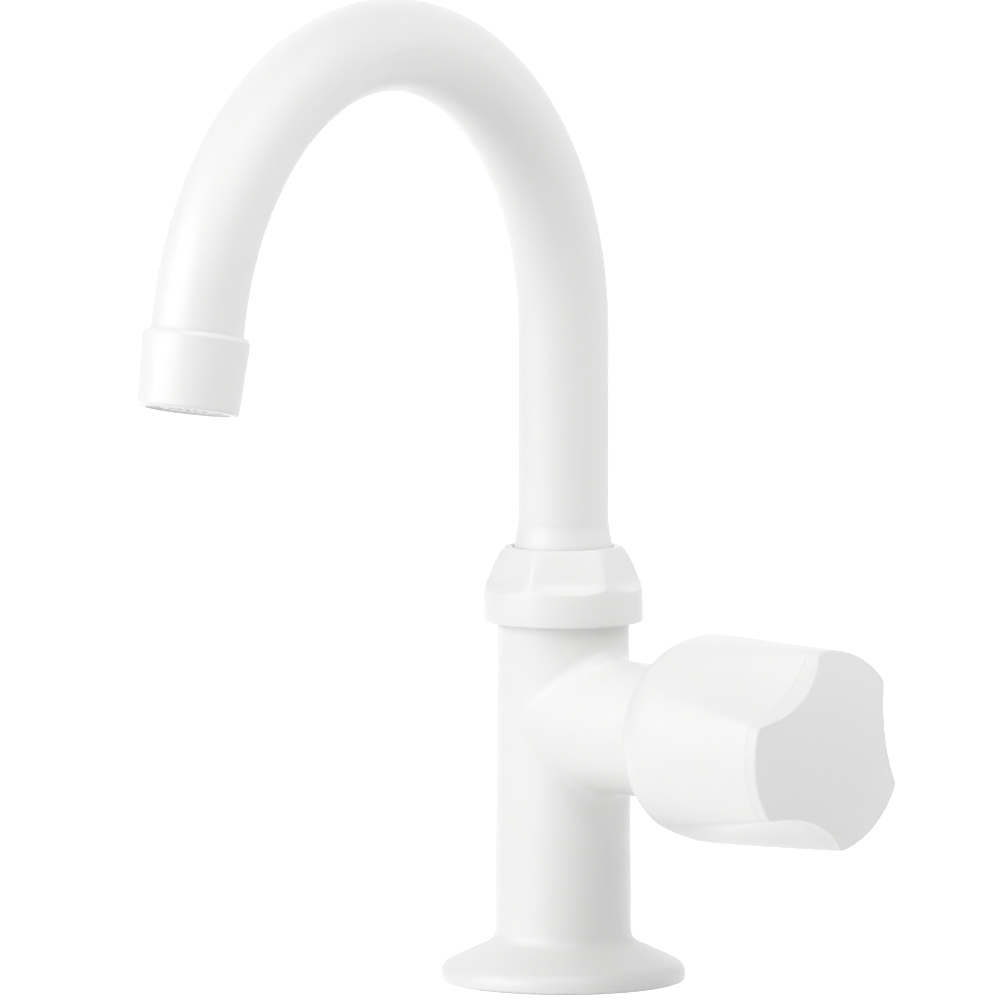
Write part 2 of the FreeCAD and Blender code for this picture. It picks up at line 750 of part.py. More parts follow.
def spindle_clip():
    """Open spring clip in the spindle's groove, outside the bonnet's nose."""
    inner = stem_radius - clip_groove_depth + part_gap / 2
    thickness = clip_thickness - part_gap
    shape = ring(clip_radius, inner, clip_x, thickness)
    mouth = Part.makeBox(clip_radius * 2, clip_mouth, thickness * 3,
                         Vector(0, -clip_mouth / 2, clip_x - thickness))
    return along_branch(shape.cut(mouth))


def plunger():
    """Sliding plunger: two flats keep it from turning, and the spindle's thread drives it."""
    shape = double_d(plunger_radius, plunger_flats, plunger_back_x, plunger_length)
    bore_x = plunger_back_x + plunger_head_length
    shape = shape.cut(ring(drive_radius + drive_play, 0, bore_x, plunger_length))
    hole = washer_screw_bite + part_gap
    return along_branch(shape.cut(ring(washer_screw_radius + screw_play, 0, plunger_back_x, hole)))


def seat_washer():
    """Rubber washer that closes on the seat."""
    bottom = seat_face_x + washer_set
    shape = ring(washer_radius, washer_screw_radius + screw_play, bottom, washer_thickness)
    head_depth = washer_screw_head_height / 2
    recess = ring(washer_screw_head_radius + screw_play, 0, bottom, head_depth)
    return along_branch(shape.cut(recess))


def slotted_screw(radius, head_radius, head_height, head_z, length):
    """Slotted screw whose head starts at head_z and whose shank runs up from the head."""
    shape = ring(head_radius, 0, head_z, head_height)
    shape = shape.makeChamfer(head_height / 4, [edge_at(shape, head_radius, head_z)])
    shape = shape.fuse(ring(radius, 0, head_z + head_height, length))
    slot = Part.makeBox(3 * head_radius, drive_slot_width, drive_slot_depth,
                        Vector(-1.5 * head_radius, -drive_slot_width / 2, head_z))
    return shape.cut(slot)


def washer_screw():
    """Small screw that holds the seat washer on the plunger."""
    head_depth = washer_screw_head_height / 2
    head_z = seat_face_x + washer_set + head_depth - washer_screw_head_height - part_gap
    shank = washer_thickness - head_depth + washer_screw_bite
    return along_branch(slotted_screw(washer_screw_radius, washer_screw_head_radius,
                                      washer_screw_head_height, head_z, shank))


# Knob
def knob_outline(points):
    """A solid turned about Z whose outline may hold arcs, given as edges' end points and arcs."""
    edges = []
    for piece in points:
        corners = [Vector(r, 0, z) for r, z in piece]
        if len(corners) == 3:
            edges.append(Part.Arc(*corners).toShape())
        else:
            edges.append(Part.LineSegment(*corners).toShape())
    return Part.Face(Part.Wire(edges)).revolve(ORIGIN, Z_AXIS, 360)


def flute_cutter():
    """One leaning cylinder that cuts a flute, deepest at the knob's face."""
    lean = math.radians(flute_lean_deg)
    reach = knob_face_x
    start = Vector(flute_floor_radius + flute_radius / math.cos(lean), 0, knob_face_x)
    way = Vector(math.sin(lean), 0, -math.cos(lean))
    return Part.makeCylinder(flute_radius, 2 * reach, start - way * reach, way)


def flutes_cut(shape):
    """Cut the flutes between the knob's lobes."""
    cutter = flute_cutter()
    for lobe in range(knob_lobes):
        flute = cutter.copy()
        flute.rotate(ORIGIN, Z_AXIS, knob_flute_turn(lobe))
        shape = shape.cut(flute)
    return shape


def knob_flute_turn(lobe):
    """Turn of a flute about the knob's axis. Lobes are counted from +Y, which is at 90 degrees here."""
    step = 360 / knob_lobes
    return knob_lobe_turn_deg + 90 + step / 2 + step * lobe


def shoulder_middle():
    """A point on the arc of the knob's back shoulder."""
    run = knob_shoulder_x - knob_back_x
    rise = knob_max_radius - knob_back_radius
    radius = (run**2 + rise**2) / (2 * rise)
    middle_x = knob_back_x + run / 2
    return knob_max_radius - radius + math.sqrt(radius**2 - (knob_shoulder_x - middle_x)**2), middle_x


def knob():
    """Hollow three-lobed knob with a hub that fits the spindle's square."""
    shape = knob_outline([[(0, knob_back_x), (knob_back_radius, knob_back_x)],
                          [(knob_back_radius, knob_back_x), shoulder_middle(),
                           (knob_max_radius, knob_shoulder_x)],
                          [(knob_max_radius, knob_shoulder_x), (knob_front_radius, knob_front_x)],
                          [(knob_front_radius, knob_front_x), (0, knob_front_x)],
                          [(0, knob_front_x), (0, knob_back_x)]])
    shape = flutes_cut(shape)
    cavity = ring(knob_cavity_radius, 0, knob_back_x, knob_cavity_end_x - knob_back_x)
    hub_x = square_x + part_gap
    cavity = cavity.cut(ring(knob_hub_radius, 0, hub_x, knob_cavity_end_x - hub_x))
    socket = squared(stem_radius + square_play, square_flats + 2 * square_play, hub_x,
                     knob_web_x - hub_x)
    hole = ring(knob_screw_radius + screw_play, 0, knob_web_x, knob_web)
    well = ring(knob_well_radius, 0, knob_well_x, knob_front_x - knob_well_x)
    return along_branch(shape.cut([cavity, socket, hole, well] + knob_pockets()))


def knob_pockets():
    """Hollows in the lobes, open at the front and closed by the cap."""
    length = knob_front_x - knob_pocket_floor_x
    sector = Part.makeCylinder(knob_pocket_outer_radius, length, Vector(0, 0, knob_pocket_floor_x),
                               Z_AXIS, 2 * knob_pocket_half_deg)
    sector = sector.cut(ring(knob_pocket_inner_radius, 0, knob_pocket_floor_x, length))
    pockets = []
    for lobe in range(knob_lobes):
        pocket = sector.copy()
        pocket.rotate(ORIGIN, Z_AXIS, knob_flute_turn(lobe) + 180 / knob_lobes - knob_pocket_half_deg)
        pockets.append(pocket)
    return pockets


def knob_cap():
    """Front plate of the knob, with its domed face and a plug for the screw's well."""
    round_x = knob_face_x - knob_cap_round
    soft = knob_cap_round * (1 - math.sqrt(0.5))
    inner = knob_front_radius - knob_cap_round
    rim_x = knob_dome_x - knob_dome_radius + math.sqrt(knob_dome_radius**2 - inner**2)
    middle_r = inner / 2
    middle_x = knob_dome_x - knob_dome_radius + math.sqrt(knob_dome_radius**2 - middle_r**2)
    shape = knob_outline([[(0, knob_seam_x), (knob_front_radius, knob_seam_x)],
                          [(knob_front_radius, knob_seam_x), (knob_front_radius, round_x)],
                          [(knob_front_radius, round_x), (knob_front_radius - soft, rim_x - soft),
                           (inner, rim_x)],
                          [(inner, rim_x), (middle_r, middle_x), (0, knob_dome_x)],
                          [(0, knob_dome_x), (0, knob_seam_x)]])
    shape = flutes_cut(shape)
    plug = ring(knob_well_radius - part_gap, 0, knob_seam_x - knob_cap_plug_length,
                knob_cap_plug_length)
    return along_branch(shape.fuse(plug))


def knob_screw():
    """Screw that holds the knob on the spindle, at the bottom of the knob's well."""
    length = knob_screw_bite + knob_web + drive_end_gap
    screw = slotted_screw(knob_screw_radius, knob_screw_head_radius, knob_screw_head_height, 0, length)
    screw.rotate(ORIGIN, X_AXIS, 180)
    screw.translate(Vector(0, 0, knob_well_x + knob_screw_head_height + part_gap))
    return along_branch(screw)


def main():
    """Build every piece and write one file for each."""
    inner_ring_x, outer_ring_x = stem_ring_places()
    pieces = {
        "tap_body": tap_body(),
        "deck_gasket": deck_gasket(),
        "fixing_washer": fixing_washer(),
        "fixing_nut": fixing_nut(),
        "union_nut": union_nut(),
        "slip_washer": slip_washer(),
        "spout_clip_ring": spout_clip_ring(),
        "spout_ferrule": spout_ferrule(),
        "spout_o_ring_lower": spout_o_ring(spout_ring_lower_z),
        "spout_o_ring_upper": spout_o_ring(spout_ring_upper_z),
        "spout_tube": spout_tube(),
        "outlet_cap": outlet_cap(),
        "outlet_washer": outlet_washer(),
        "aerator_cup": aerator_cup(),
        "aerator_screens": aerator_screens(),
        "bonnet": bonnet(),
        "bonnet_o_ring": bonnet_o_ring(),
        "spindle": spindle(),
        "spindle_o_ring_inner": spindle_o_ring(inner_ring_x),
        "spindle_o_ring_outer": spindle_o_ring(outer_ring_x),
        "thrust_washer": thrust_washer(),
        "spindle_clip": spindle_clip(),
        "plunger": plunger(),
        "seat_washer": seat_washer(),
        "washer_screw": washer_screw(),
        "knob": knob(),
        "knob_cap": knob_cap(),
        "knob_screw": knob_screw(),
    }
    os.makedirs("parts", exist_ok=True)
    for name, shape in pieces.items():
        shape.exportStep("parts/" + name + ".step")
        box = shape.BoundBox
        print(f"{name:22s} valid {shape.isValid()} solids {len(shape.Solids)} volume {shape.Volume:9.1f}"
              f"  x {box.XMin:.1f} {box.XMax:.1f}  y {box.YMin:.1f} {box.YMax:.1f}"
              f"  z {box.ZMin:.1f} {box.ZMax:.1f}")


main()
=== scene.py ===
"""Studio scene of a white basin tap, dressed around its packed construction model.

Sizes are in millimetres, and become metres when a mesh is made. A name that ends in
_m, _um, _deg, _rad or _px gives its own unit. The tap stands in its own frame: +Z up
the column, +X out along the valve branch, and -Y the front, over the basin.
"""

import logging
import math
from collections.abc import Callable, Iterable, Sequence
from dataclasses import dataclass, field
from enum import Enum

import bmesh
import bpy
from mathutils import Matrix, Vector


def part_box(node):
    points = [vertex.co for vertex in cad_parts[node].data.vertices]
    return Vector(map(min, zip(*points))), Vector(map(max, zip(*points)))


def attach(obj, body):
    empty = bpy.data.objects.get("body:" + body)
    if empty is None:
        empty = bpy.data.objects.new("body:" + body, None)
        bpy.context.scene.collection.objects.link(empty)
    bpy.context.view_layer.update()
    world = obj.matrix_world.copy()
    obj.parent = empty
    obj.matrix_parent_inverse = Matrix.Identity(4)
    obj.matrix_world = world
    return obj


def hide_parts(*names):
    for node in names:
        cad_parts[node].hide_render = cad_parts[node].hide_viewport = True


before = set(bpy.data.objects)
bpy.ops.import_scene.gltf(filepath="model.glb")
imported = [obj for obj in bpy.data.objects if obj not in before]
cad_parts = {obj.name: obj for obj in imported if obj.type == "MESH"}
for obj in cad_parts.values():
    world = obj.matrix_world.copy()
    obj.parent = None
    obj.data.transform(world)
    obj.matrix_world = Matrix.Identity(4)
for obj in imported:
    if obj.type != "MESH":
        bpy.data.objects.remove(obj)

LOG = logging.getLogger("basin_tap")
MM = 0.001
MICROMETRE = 1e-6
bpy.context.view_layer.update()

CREASE_DEG = 32.0
WHITEST = 0.98

# One turn of points, a length that changes with the angle, and red, green and blue.
Ring = list[Vector]
Reach = Callable[[float], float]
Colour = tuple[float, float, float]


class Body(Enum):
    """The tap's moving bodies."""

    FIXED = "body"
    SPOUT = "spout"
    HANDLE = "handle"
    PLUNGER = "plunger"


def low(node: str) -> Vector:
    """The lowest corner of a construction node, in millimetres."""
    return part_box(node)[0] / MM


def high(node: str) -> Vector:
    """The highest corner of a construction node, in millimetres."""
    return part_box(node)[1] / MM


class Axis(Enum):
    """The axis that a turned piece is built about."""

    COLUMN = "column"
    VALVE = "valve"

    def placed(self) -> Matrix:
        """Find where the axis lies.

        Returns:
            What carries a piece built up Z over to the axis, in millimetres. On the
            valve's axis, its Z becomes X.
        """
        if self is Axis.COLUMN:
            return Matrix.Identity(4)
        height = (low("knob_screw").z + high("knob_screw").z) / 2
        quarter_turn = Matrix.Rotation(math.pi / 2, 4, "Y")
        return Matrix.Translation(Vector((0.0, 0.0, height))) @ quarter_turn


def soft_least(first: float, second: float, blend: float) -> float:
    """The smaller of two radii, with the edge between them rounded over.

    Args:
        first: One radius.
        second: The other radius.
        blend: How far apart the two may be and still be rounded together.

    Returns:
        The smaller radius, drawn in a little near the edge.
    """
    near = max(blend - abs(first - second), 0.0) / blend
    return min(first, second) - near * near * blend / 4.0


def quarter_round(steps: int) -> list[tuple[float, float]]:
    """Points of a quarter circle as (sine, one minus cosine) pairs.

    Args:
        steps: How many spans the quarter has.

    Returns:
        The pairs from the start of the round to its end.
    """
    angles = [math.pi / 2 * step / steps for step in range(steps + 1)]
    return [(math.sin(angle), 1.0 - math.cos(angle)) for angle in angles]


class Lathe:
    """Skins rings of points about one axis into a closed mesh."""

    def __init__(self, axis: Axis, spokes: int) -> None:
        """Set the axis and how many points each ring has.

        Args:
            axis: Which axis of the tap the rings stand round.
            spokes: Points in a ring.
        """
        self.axis = axis
        self.spokes = spokes
        self.rings: list[Ring] = []

    def angle(self, spoke: int) -> float:
        """The angle of a spoke, in radians."""
        return 2.0 * math.pi * spoke / self.spokes

    def ring(self, reach: float | Reach, along: float | Reach) -> None:
        """Add a ring.

        Args:
            reach: Its radius, or a function of the angle that gives it.
            along: Its place along the axis, or a function of the angle.
        """
        points = []
        for spoke in range(self.spokes):
            angle = self.angle(spoke)
            radius = reach(angle) if callable(reach) else reach
            place = along(angle) if callable(along) else along
            points.append(Vector((radius * math.cos(angle), radius * math.sin(angle), place)))
        self.rings.append(points)

    def mesh(self, name: str, looped: bool) -> bpy.types.Object:
        """Skin the rings.

        Args:
            name: The piece's name.
            looped: True where the last ring joins the first, as in a sleeve;
                otherwise the first and last rings are closed to a point.

        Returns:
            The new object.
        """
        placed = self.axis.placed()
        skin = bmesh.new()
        rows = [[skin.verts.new(placed @ point * MM) for point in ring] for ring in self.rings]
        pairs = list(zip(rows, rows[1:]))
        if looped:
            pairs.append((rows[-1], rows[0]))
        for lower, upper in pairs:
            for spoke in range(self.spokes):
                following = (spoke + 1) % self.spokes
                skin.faces.new((lower[spoke], lower[following], upper[following], upper[spoke]))
        if not looped:
            for row in (rows[0], rows[-1]):
                centre = skin.verts.new(sum((vertex.co for vertex in row), Vector()) / len(row))
                for spoke in range(self.spokes):
                    skin.faces.new((row[spoke], row[(spoke + 1) % self.spokes], centre))
        bmesh.ops.recalc_face_normals(skin, faces=skin.faces)
        return finished_object(name, skin)


def finished_object(name: str, skin: bmesh.types.BMesh) -> bpy.types.Object:
    """Turn a bmesh into a smooth-shaded object with sharp edges where it folds.

    Args:
        name: The piece's name.
        skin: The mesh, which is freed here.

    Returns:
        The new object, linked to the scene.
    """
    for face in skin.faces:
        face.smooth = True
    crease = math.radians(CREASE_DEG)
    for edge in skin.edges:
        edge.smooth = not (len(edge.link_faces) == 2 and edge.calc_face_angle(0.0) > crease)
    mesh = bpy.data.meshes.new(name)
    skin.to_mesh(mesh)
    skin.free()
    piece = bpy.data.objects.new(name, mesh)
    bpy.context.scene.collection.objects.link(piece)
    return piece


@dataclass(frozen=True)
class Mottle:
    """A noise pattern: features per metre, octaves, and how strong the fine ones are."""

    per_m: float
    detail: float
    roughness: float = 0.5


class NodeSketch:
    """A small helper that adds and links shader nodes in one material or world."""

    MIDDLE_RANGE = (0.3, 0.7)

    def __init__(self, tree: bpy.types.NodeTree) -> None:
        """Start with an empty tree."""
        self.tree = tree
        self.tree.nodes.clear()

    def add(self, kind: str, **settings: object) -> bpy.types.Node:
        """Add a node.

        Args:
            kind: The node's Blender type name.
            **settings: Properties to set on it.

        Returns:
            The node.
        """
        node = self.tree.nodes.new(kind)
        for key, value in settings.items():
            setattr(node, key, value)
        return node

    def link(self, source: bpy.types.NodeSocket, target: bpy.types.NodeSocket) -> None:
        """Join two sockets."""
        self.tree.links.new(source, target)

    def noise(self, place: bpy.types.NodeSocket, mottle: Mottle) -> bpy.types.NodeSocket:
        """A noise texture in object space.

        Args:
            place: The coordinate socket.
            mottle: The pattern.

        Returns:
            Its factor socket.
        """
        texture = self.add("ShaderNodeTexNoise")
        texture.inputs["Scale"].default_value = mottle.per_m
        texture.inputs["Detail"].default_value = mottle.detail
        texture.inputs["Roughness"].default_value = mottle.roughness
        self.link(place, texture.inputs["Vector"])
        return texture.outputs["Fac"]

    def spread(self, source: bpy.types.NodeSocket, lowest: float,
               highest: float) -> bpy.types.NodeSocket:
        """Map a texture's middle range on to a range of values.

        Args:
            source: The texture's factor.
            lowest: The value where the middle range starts.
            highest: The value where it ends.

        Returns:
            The mapped socket.
        """
        remap = self.add("ShaderNodeMapRange", interpolation_type="SMOOTHSTEP")
        remap.inputs["From Min"].default_value = self.MIDDLE_RANGE[0]
        remap.inputs["From Max"].default_value = self.MIDDLE_RANGE[1]
        remap.inputs["To Min"].default_value = lowest
        remap.inputs["To Max"].default_value = highest
        self.link(source, remap.inputs["Value"])
        return remap.outputs["Result"]

    def ramp(self, source: bpy.types.NodeSocket, stops: Sequence[float],
             colours: Sequence[Colour]) -> bpy.types.NodeSocket:
        """A colour ramp.

        Args:
            source: The factor.
            stops: The place of each stop.
            colours: The colour at each stop.

        Returns:
            The colour socket.
        """
        node = self.add("ShaderNodeValToRGB")
        elements = node.color_ramp.elements
        while len(elements) < len(stops):
            elements.new(0.5)
        for element, stop, colour in zip(elements, stops, colours):
            element.position = stop
            element.color = (*colour, 1.0)
        self.link(source, node.inputs["Fac"])
        return node.outputs["Color"]

    def bump(self, height: bpy.types.NodeSocket, depth_um: float,
             under: bpy.types.NodeSocket | None = None) -> bpy.types.NodeSocket:
        """A bump of a given depth.

        Args:
            height: The height texture.
            depth_um: Micrometres from the texture's 0 to its 1.
            under: A normal that it is laid over.

        Returns:
            The normal socket.
        """
        node = self.add("ShaderNodeBump")
        node.inputs["Distance"].default_value = depth_um * MICROMETRE
        node.inputs["Strength"].default_value = 1.0
        self.link(height, node.inputs["Height"])
        if under is not None:
            self.link(under, node.inputs["Normal"])
        return node.outputs["Normal"]


def lighter(colour: Colour, factor: float) -> Colour:
    """A colour made lighter or darker by a factor, kept below white."""
    red, green, blue = (min(channel * factor, WHITEST) for channel in colour)
    return red, green, blue


@dataclass(frozen=True)
class Finish:
    """What all finishes share: a name and how to reach the tree of a new material."""

    name: str

    def sketch(self) -> tuple[bpy.types.Material, NodeSketch, bpy.types.Node, bpy.types.NodeSocket]:
        """Start a material.

        Returns:
            The material, its sketch, its shader and its object coordinates.
        """
        material = bpy.data.materials.new(self.name)
        material.use_nodes = True
        nodes = NodeSketch(material.node_tree)
        shader = nodes.add("ShaderNodeBsdfPrincipled")
        output = nodes.add("ShaderNodeOutputMaterial")
        nodes.link(shader.outputs["BSDF"], output.inputs["Surface"])
        place = nodes.add("ShaderNodeTexCoord").outputs["Object"]
        return material, nodes, shader, place


@dataclass(frozen=True)
class GlossPlastic(Finish):
    """Injection-moulded plastic with a mild gloss.

    It has faint flow marks, shallow sinks, orange peel and wipe marks.
    """

    colour: Colour = (0.84, 0.84, 0.835)
    gloss_low: float = 0.35
    gloss_high: float = 0.41
    shade: float = 0.993
    flow: Mottle = Mottle(34.0, 2.0, 0.4)
    flow_stops: tuple[float, ...] = (0.30, 0.52, 0.72)
    wipe: Mottle = Mottle(70.0, 3.0, 0.45)
    sink: Mottle = Mottle(45.0, 1.0)
    sink_um: float = 25.0
    peel: Mottle = Mottle(1400.0, 2.0)
    peel_um: float = 3.0
    index: float = 1.5

    def make(self) -> bpy.types.Material:
        """Build the material.

        Returns:
            The material.
        """
        material, nodes, shader, place = self.sketch()
        flow = nodes.noise(place, self.flow)
        tones = [lighter(self.colour, self.shade), self.colour,
                 lighter(self.colour, 2.0 - self.shade)]
        nodes.link(nodes.ramp(flow, self.flow_stops, tones), shader.inputs["Base Color"])
        wipe = nodes.noise(place, self.wipe)
        nodes.link(nodes.spread(wipe, self.gloss_low, self.gloss_high), shader.inputs["Roughness"])
        sink = nodes.bump(nodes.noise(place, self.sink), self.sink_um)
        peel = nodes.bump(nodes.noise(place, self.peel), self.peel_um, under=sink)
        nodes.link(peel, shader.inputs["Normal"])
        shader.inputs["IOR"].default_value = self.index
        return material


@dataclass(frozen=True)
class SatinPlastic(Finish):
    """Slippery moulded plastic with a satin skin and faint mould marks."""

    colour: Colour = (0.72, 0.72, 0.69)
    darkest: float = 0.93
    lightest: float = 1.04
    roughness: float = 0.46
    polished: float = 0.08
    rubbed: float = 0.1
    cloud: Mottle = Mottle(120.0, 5.0, 0.6)
    cloud_stops: tuple[float, ...] = (0.3, 0.7)
    rub: Mottle = Mottle(260.0, 4.0)
    grain: Mottle = Mottle(2400.0, 3.0)
    grain_um: float = 9.0

    def make(self) -> bpy.types.Material:
        """Build the material.

        Returns:
            The material.
        """
        material, nodes, shader, place = self.sketch()
        cloud = nodes.noise(place, self.cloud)
        tones = [lighter(self.colour, self.darkest), lighter(self.colour, self.lightest)]
        nodes.link(nodes.ramp(cloud, self.cloud_stops, tones), shader.inputs["Base Color"])
        rub = nodes.noise(place, self.rub)
        nodes.link(nodes.spread(rub, self.roughness - self.polished, self.roughness + self.rubbed),
                   shader.inputs["Roughness"])
        grain = nodes.noise(place, self.grain)
        nodes.link(nodes.bump(grain, self.grain_um), shader.inputs["Normal"])
        return material


@dataclass(frozen=True)
class Rubber(Finish):
    """Moulded black rubber with a dusty bloom."""

    colour: Colour = (0.028, 0.028, 0.03)
    bloom: Colour = (0.085, 0.085, 0.09)
    clean_roughness: float = 0.55
    dusty_roughness: float = 0.82
    dust: Mottle = Mottle(210.0, 7.0, 0.68)
    dust_stops: tuple[float, ...] = (0.42, 0.78)
    grain: Mottle = Mottle(1900.0, 4.0)
    grain_um: float = 20.0

    def make(self) -> bpy.types.Material:
        """Build the material.

        Returns:
            The material.
        """
        material, nodes, shader, place = self.sketch()
        dust = nodes.noise(place, self.dust)
        tones = [self.colour, self.bloom]
        nodes.link(nodes.ramp(dust, self.dust_stops, tones), shader.inputs["Base Color"])
        nodes.link(nodes.spread(dust, self.clean_roughness, self.dusty_roughness),
                   shader.inputs["Roughness"])
        grain = nodes.noise(place, self.grain)
        nodes.link(nodes.bump(grain, self.grain_um), shader.inputs["Normal"])
        return material


@dataclass(frozen=True)
class TurnedMetal(Finish):
    """Turned metal: fine rings from the tool, and stains that dull it in places."""

    colour: Colour = (0.75, 0.56, 0.28)
    stain: Colour = (0.48, 0.34, 0.17)
    roughness: float = 0.28
    stain_roughness: float = 0.25
    tarnish: Mottle = Mottle(160.0, 6.0, 0.62)
    tarnish_stops: tuple[float, ...] = (0.36, 0.75)
    ring_scale: float = 250.24
    ring_wander: float = 0.4
    ring_um: float = 4.0

    def make(self) -> bpy.types.Material:
        """Build the material.

        Returns:
            The material.
        """
        material, nodes, shader, place = self.sketch()
        tarnish = nodes.noise(place, self.tarnish)
        tones = [self.colour, self.stain]
        nodes.link(nodes.ramp(tarnish, self.tarnish_stops, tones), shader.inputs["Base Color"])
        nodes.link(nodes.spread(tarnish, self.roughness, self.roughness + self.stain_roughness),
                   shader.inputs["Roughness"])
        shader.inputs["Metallic"].default_value = 1.0
        lines = nodes.add("ShaderNodeTexWave", wave_type="BANDS", bands_direction="X")
        lines.inputs["Scale"].default_value = self.ring_scale
        lines.inputs["Distortion"].default_value = self.ring_wander
        nodes.link(place, lines.inputs["Vector"])
        nodes.link(nodes.bump(lines.outputs["Fac"], self.ring_um), shader.inputs["Normal"])
        return material


class Finishes:
    """All finishes of the tap, made once and shared by its pieces."""

    def __init__(self) -> None:
        """Make every finish."""
        self.white = GlossPlastic("white_gloss_moulding").make()
        # Painted shade: the front cap is a darker copy of the white moulding, standing in for the
        # shade on the face that turns away from the lamps.
        self.shaded_knob_front = GlossPlastic("knob_front_painted_shade",
                                       colour=(0.817, 0.818, 0.813)).make()
        self.acetal = SatinPlastic("natural_acetal").make()
        self.grey_insert = SatinPlastic("grey_aerator_plastic", colour=(0.66, 0.66, 0.65),
                                        roughness=0.38).make()
        self.rubber = Rubber("black_rubber").make()
        self.brass = TurnedMetal("turned_brass").make()
        self.steel = TurnedMetal("bright_steel", colour=(0.62, 0.62, 0.63),
                                 stain=(0.42, 0.42, 0.43), roughness=0.24,
                                 ring_scale=400.39).make()


def dress(nodes: Iterable[str], material: bpy.types.Material) -> None:
    """Give construction nodes a finish.

    Args:
        nodes: The nodes' names.
        material: The finish.
    """
    for name in nodes:
        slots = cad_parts[name].data.materials
        slots.clear()
        slots.append(material)
        LOG.info("dressed %s with %s", name, material.name)


def settle(piece: bpy.types.Object, body: Body, stands_for: str,
           material: bpy.types.Material) -> None:
    """Give a new piece its finish and body, in its construction node's place.

    Args:
        piece: The piece, already in place.
        body: The body that it moves with.
        stands_for: The construction node that it replaces.
        material: Its finish.
    """
    piece.data.materials.append(material)
    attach(piece, body.value)
    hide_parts(stands_for)
    LOG.info("made %s: %d faces", piece.name, len(piece.data.polygons))


@dataclass
class Knob:
    """The three-lobed knob: a hollow shell and a domed front cap."""

    finishes: Finishes
    shoulder_x: float = 47.5
    greatest_radius: float = 22.9
    front_radius: float = 22.3
    face_x: float = 83.6
    dome_radius: float = 74.0
    back_rim: float = 0.45
    front_round: float = 0.8
    seam_round: float = 0.07
    seam_gap: float = 0.02
    lobes: int = 3
    lobe_turn_deg: float = 189.1
    flute_radius: float = 24.0
    flute_floor: float = 15.9
    flute_lean_deg: float = 11.9
    flute_edge: float = 1.0
    flute_edge_growth: float = 3.2
    back_radius: float = 14.9
    back_rim_inner: float = 0.3
    back_rim_outer: float = 0.8
    back_rim_start: float = 0.5
    cavity_radius: float = 13.5
    cavity_front_wall: float = 3.0
    spokes: int = 216
    shell_rows: int = 72
    shell_crowding: float = 1.15
    cap_rows: int = 5
    seam_steps: int = 3
    front_steps: int = 8
    pole_radius: float = 0.05
    seam_shares: tuple[float, ...] = (0.8, 0.4, 0.01)
    face_shares: tuple[float, ...] = (0.97, 0.92, 0.84, 0.74, 0.62, 0.48, 0.32, 0.16, 0.02)
    back_x: float = field(init=False)
    seam_x: float = field(init=False)

    def __post_init__(self) -> None:
        """Read the ends from the construction model."""
        self.back_x = low("knob").x
        self.seam_x = high("knob").x

    def profile(self, x: float) -> float:
        """The radius of the turned shape before the flutes.

        Args:
            x: The place along the valve's axis.

        Returns:
            The radius there.
        """
        if x >= self.shoulder_x:
            share = (x - self.shoulder_x) / (self.face_x - self.shoulder_x)
            return self.greatest_radius + share * (self.front_radius - self.greatest_radius)
        run = self.shoulder_x - self.back_x
        rise = self.greatest_radius - self.back_radius
        radius = (run**2 + rise**2) / (2 * rise)
        return self.greatest_radius - radius + math.sqrt(radius**2 - (self.shoulder_x - x) ** 2)

    def flute(self, x: float, angle: float) -> float:
        """The radius at which a spoke meets the nearest flute's leaning cylinder.

        Args:
            x: The place along the valve's axis.
            angle: The spoke's angle, in radians.

        Returns:
            The radius, or more than the knob has where the spoke misses the flute.
        """
        step = 2 * math.pi / self.lobes
        centre = math.radians(self.lobe_turn_deg + 90) + step / 2
        off = (angle - centre + step / 2) % step - step / 2
        lean = math.radians(self.flute_lean_deg)
        radial = self.flute_radius / math.cos(lean)
        axis = self.flute_floor + radial + (self.face_x - x) * math.tan(lean)
        square = (math.cos(off) / radial) ** 2 + (math.sin(off) / self.flute_radius) ** 2
        linear = -2 * axis * math.cos(off) / radial**2
        constant = (axis / radial) ** 2 - 1
        inside = linear * linear - 4 * square * constant
        if inside <= 0:
            return 2 * self.greatest_radius
        return (-linear - math.sqrt(inside)) / (2 * square)

    def reach(self, x: float) -> Reach:
        """The knob's outline across the axis.

        Args:
            x: The place along the valve's axis.

        Returns:
            The radius there as a function of the angle.
        """
        turned = self.profile(x)
        share = min((self.face_x - x) / (self.face_x - self.shoulder_x), 1.0)
        blend = self.flute_edge + self.flute_edge_growth * share
        return lambda angle: soft_least(turned, self.flute(x, angle), blend)

    def dome(self, radius: float) -> float:
        """Where the domed face lies at a distance from the axis."""
        rim = math.sqrt(self.dome_radius**2 - self.front_radius**2)
        return self.face_x - rim + math.sqrt(self.dome_radius**2 - radius**2)

    def shell(self) -> bpy.types.Object:
        """Make the hollow shell behind the seam.

        Returns:
            The shell.
        """
        lathe = Lathe(Axis.VALVE, self.spokes)
        cavity_end = self.seam_x - self.cavity_front_wall
        for radius in (self.pole_radius, self.cavity_radius / 2):
            lathe.ring(radius, cavity_end)
        for x in (cavity_end, (cavity_end + self.back_x) / 2, self.back_x + self.back_rim):
            lathe.ring(self.cavity_radius, x)
        rim = self.back_rim
        lathe.ring(self.cavity_radius + self.back_rim_inner * rim, self.back_x)
        lathe.ring(self.back_radius - self.back_rim_outer * rim, self.back_x)
        first = self.back_x + self.back_rim_start * rim
        span = self.seam_x - self.seam_round - first
        for row in range(self.shell_rows + 1):
            x = first + span * (row / self.shell_rows) ** self.shell_crowding
            lathe.ring(self.reach(x), x)
        edge = self.reach(self.seam_x - self.seam_round)
        for sine, drop in quarter_round(self.seam_steps)[1:]:
            lathe.ring(lambda angle, d=drop: edge(angle) - d * self.seam_round,
                       self.seam_x - self.seam_round + sine * self.seam_round)
        for share in self.seam_shares:
            lathe.ring(lambda angle, s=share: edge(angle) * s, self.seam_x)
        return lathe.mesh("knob_shell", looped=False)

